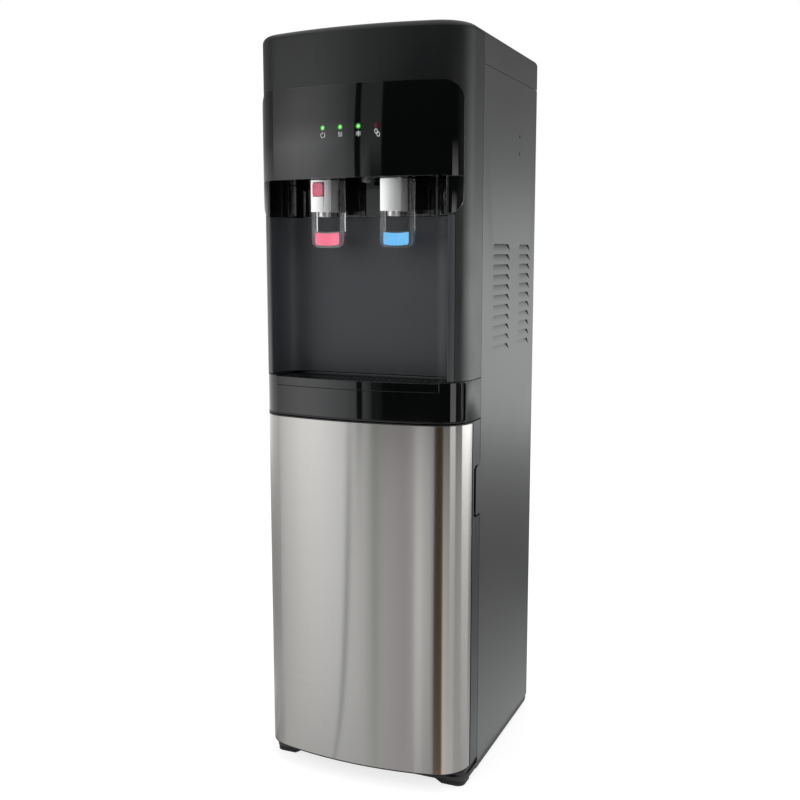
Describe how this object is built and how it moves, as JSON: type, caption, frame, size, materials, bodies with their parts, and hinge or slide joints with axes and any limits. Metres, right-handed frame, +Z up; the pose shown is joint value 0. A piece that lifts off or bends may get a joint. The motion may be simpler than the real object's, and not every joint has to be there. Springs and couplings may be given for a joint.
{
  "type": "bottom load water cooler",
  "caption": "Free-standing hot and cold water cooler with a display hood, push-lever taps over a drip tray, and a stainless door over the bottle compartment.",
  "frame": {"origin": "on the floor, at the bottom centre of the bounding box", "axes": "+Z up, -Y out of the door, +X to the right as seen by someone facing the taps"},
  "size_m": [0.31, 0.3521, 1.042],
  "materials": {
    "base_black": "moulded black plastic, fine grain",
    "rubber_black": "moulded black rubber",
    "panel_paint": "dark grey satin coated steel",
    "zinc_steel": "zinc-plated sheet steel",
    "satin_black": "satin black plastic",
    "gloss_black": "high-gloss black plastic",
    "stainless": "stainless steel, brushed across",
    "silver_paint": "silver painted plastic",
    "white_plastic": "white plastic",
    "clear_plastic": "clear polycarbonate",
    "red_plastic": "red plastic",
    "blue_plastic": "sky blue plastic",
    "green_plastic": "green plastic",
    "lamp_green": "green indicator lens",
    "lamp_red": "dark red indicator lens, unlit",
    "board_green": "green circuit board",
    "silicone": "translucent silicone",
    "copper": "copper tube",
    "black_steel": "black painted steel"
  },
  "bodies": {
    "cabinet": {"base_tray": "base_black", "foot_front_left": "rubber_black", "foot_front_right": "rubber_black", "foot_rear_left": "rubber_black", "foot_rear_right": "rubber_black", "left_side_panel": "panel_paint", "right_side_panel": "panel_paint", "rear_panel": "zinc_steel", "power_gland": "base_black", "drain_plug": "white_plastic", "top_cover": "panel_paint", "front_shell": "satin_black", "hood_panel": "gloss_black", "indicator_board": "board_green", "power_lamp": "lamp_green", "heating_lamp": "lamp_green", "cooling_lamp": "lamp_green", "empty_lamp": "lamp_red", "alcove_liner": "satin_black", "tap_housing": "gloss_black", "night_light_lens": "white_plastic", "hot_tap_body": "silver_paint", "hot_nozzle": "white_plastic", "cold_tap_body": "silver_paint", "cold_nozzle": "white_plastic", "apron_frame": "satin_black", "apron_panel": "gloss_black", "lower_hinge_bracket": "zinc_steel", "upper_hinge_pin": "zinc_steel", "catch_plate": "zinc_steel", "compartment_liner": "base_black", "divider_shelf": "zinc_steel", "tank_shelf": "zinc_steel", "water_pump": "base_black", "delivery_hose": "silicone", "hot_hose": "silicone", "cold_hose": "silicone", "hot_tank": "stainless", "cold_tank": "stainless", "evaporator_coil": "copper", "compressor": "black_steel", "condenser": "black_steel", "switch_plate": "base_black"},
    "door": {"door_skin": "stainless", "door_frame": "satin_black", "door_liner": "base_black", "door_magnet": "rubber_black"},
    "hot_lever_arm": {"hot_lever": "clear_plastic", "hot_pad": "red_plastic"},
    "cold_lever_arm": {"cold_lever": "clear_plastic", "cold_pad": "blue_plastic"},
    "lock_button": {"child_lock_button": "red_plastic"},
    "tray": {"drip_tray": "gloss_black"},
    "grille": {"drip_grille": "base_black"},
    "heating_rocker": {"heating_switch": "red_plastic"},
    "cooling_rocker": {"cooling_switch": "green_plastic"},
    "night_light_rocker": {"night_light_switch": "base_black"},
    "probe": {"bottle_probe": "white_plastic", "suction_hose": "silicone"}
  },
  "joints": [
    {"name": "door_hinge", "type": "hinge", "parent": "cabinet", "child": "door", "pos_m": [-0.145, -0.0936, 0.27], "axis": [0, 0, -1], "range_deg": [0, 95]},
    {"name": "hot_lever_hinge", "type": "hinge", "parent": "cabinet", "child": "hot_lever_arm", "pos_m": [-0.0515, -0.134, 0.838], "axis": [1, 0, 0], "range_deg": [0, 14], "stiffness_Nm_per_rad": 0.4, "springref_deg": -5.73},
    {"name": "cold_lever_hinge", "type": "hinge", "parent": "cabinet", "child": "cold_lever_arm", "pos_m": [0.0515, -0.134, 0.838], "axis": [1, 0, 0], "range_deg": [0, 14], "stiffness_Nm_per_rad": 0.4, "springref_deg": -5.73},
    {"name": "lock_button_slide", "type": "slide", "parent": "cabinet", "child": "lock_button", "axis": [0, 1, 0], "range_m": [0, 0.0025], "stiffness_N_per_m": 400, "springref_m": -0.001},
    {"name": "tray_slide", "type": "slide", "parent": "cabinet", "child": "tray", "axis": [0, -1, 0], "range_m": [0, 0.06]},
    {"name": "grille_lift", "type": "slide", "parent": "tray", "child": "grille", "axis": [0, 0, 1], "range_m": [0, 0.03]},
    {"name": "heating_rocker_hinge", "type": "hinge", "parent": "cabinet", "child": "heating_rocker", "pos_m": [-0.06, 0.163, 0.941], "axis": [1, 0, 0], "range_deg": [-8, 8]},
    {"name": "cooling_rocker_hinge", "type": "hinge", "parent": "cabinet", "child": "cooling_rocker", "pos_m": [-0.035, 0.163, 0.941], "axis": [1, 0, 0], "range_deg": [-8, 8]},
    {"name": "night_light_rocker_hinge", "type": "hinge", "parent": "cabinet", "child": "night_light_rocker", "pos_m": [-0.01, 0.163, 0.941], "axis": [1, 0, 0], "range_deg": [-8, 8]},
    {"name": "probe_lift", "type": "slide", "parent": "cabinet", "child": "probe", "axis": [0, 0, 1], "range_m": [0, 0.02]}
  ]
}
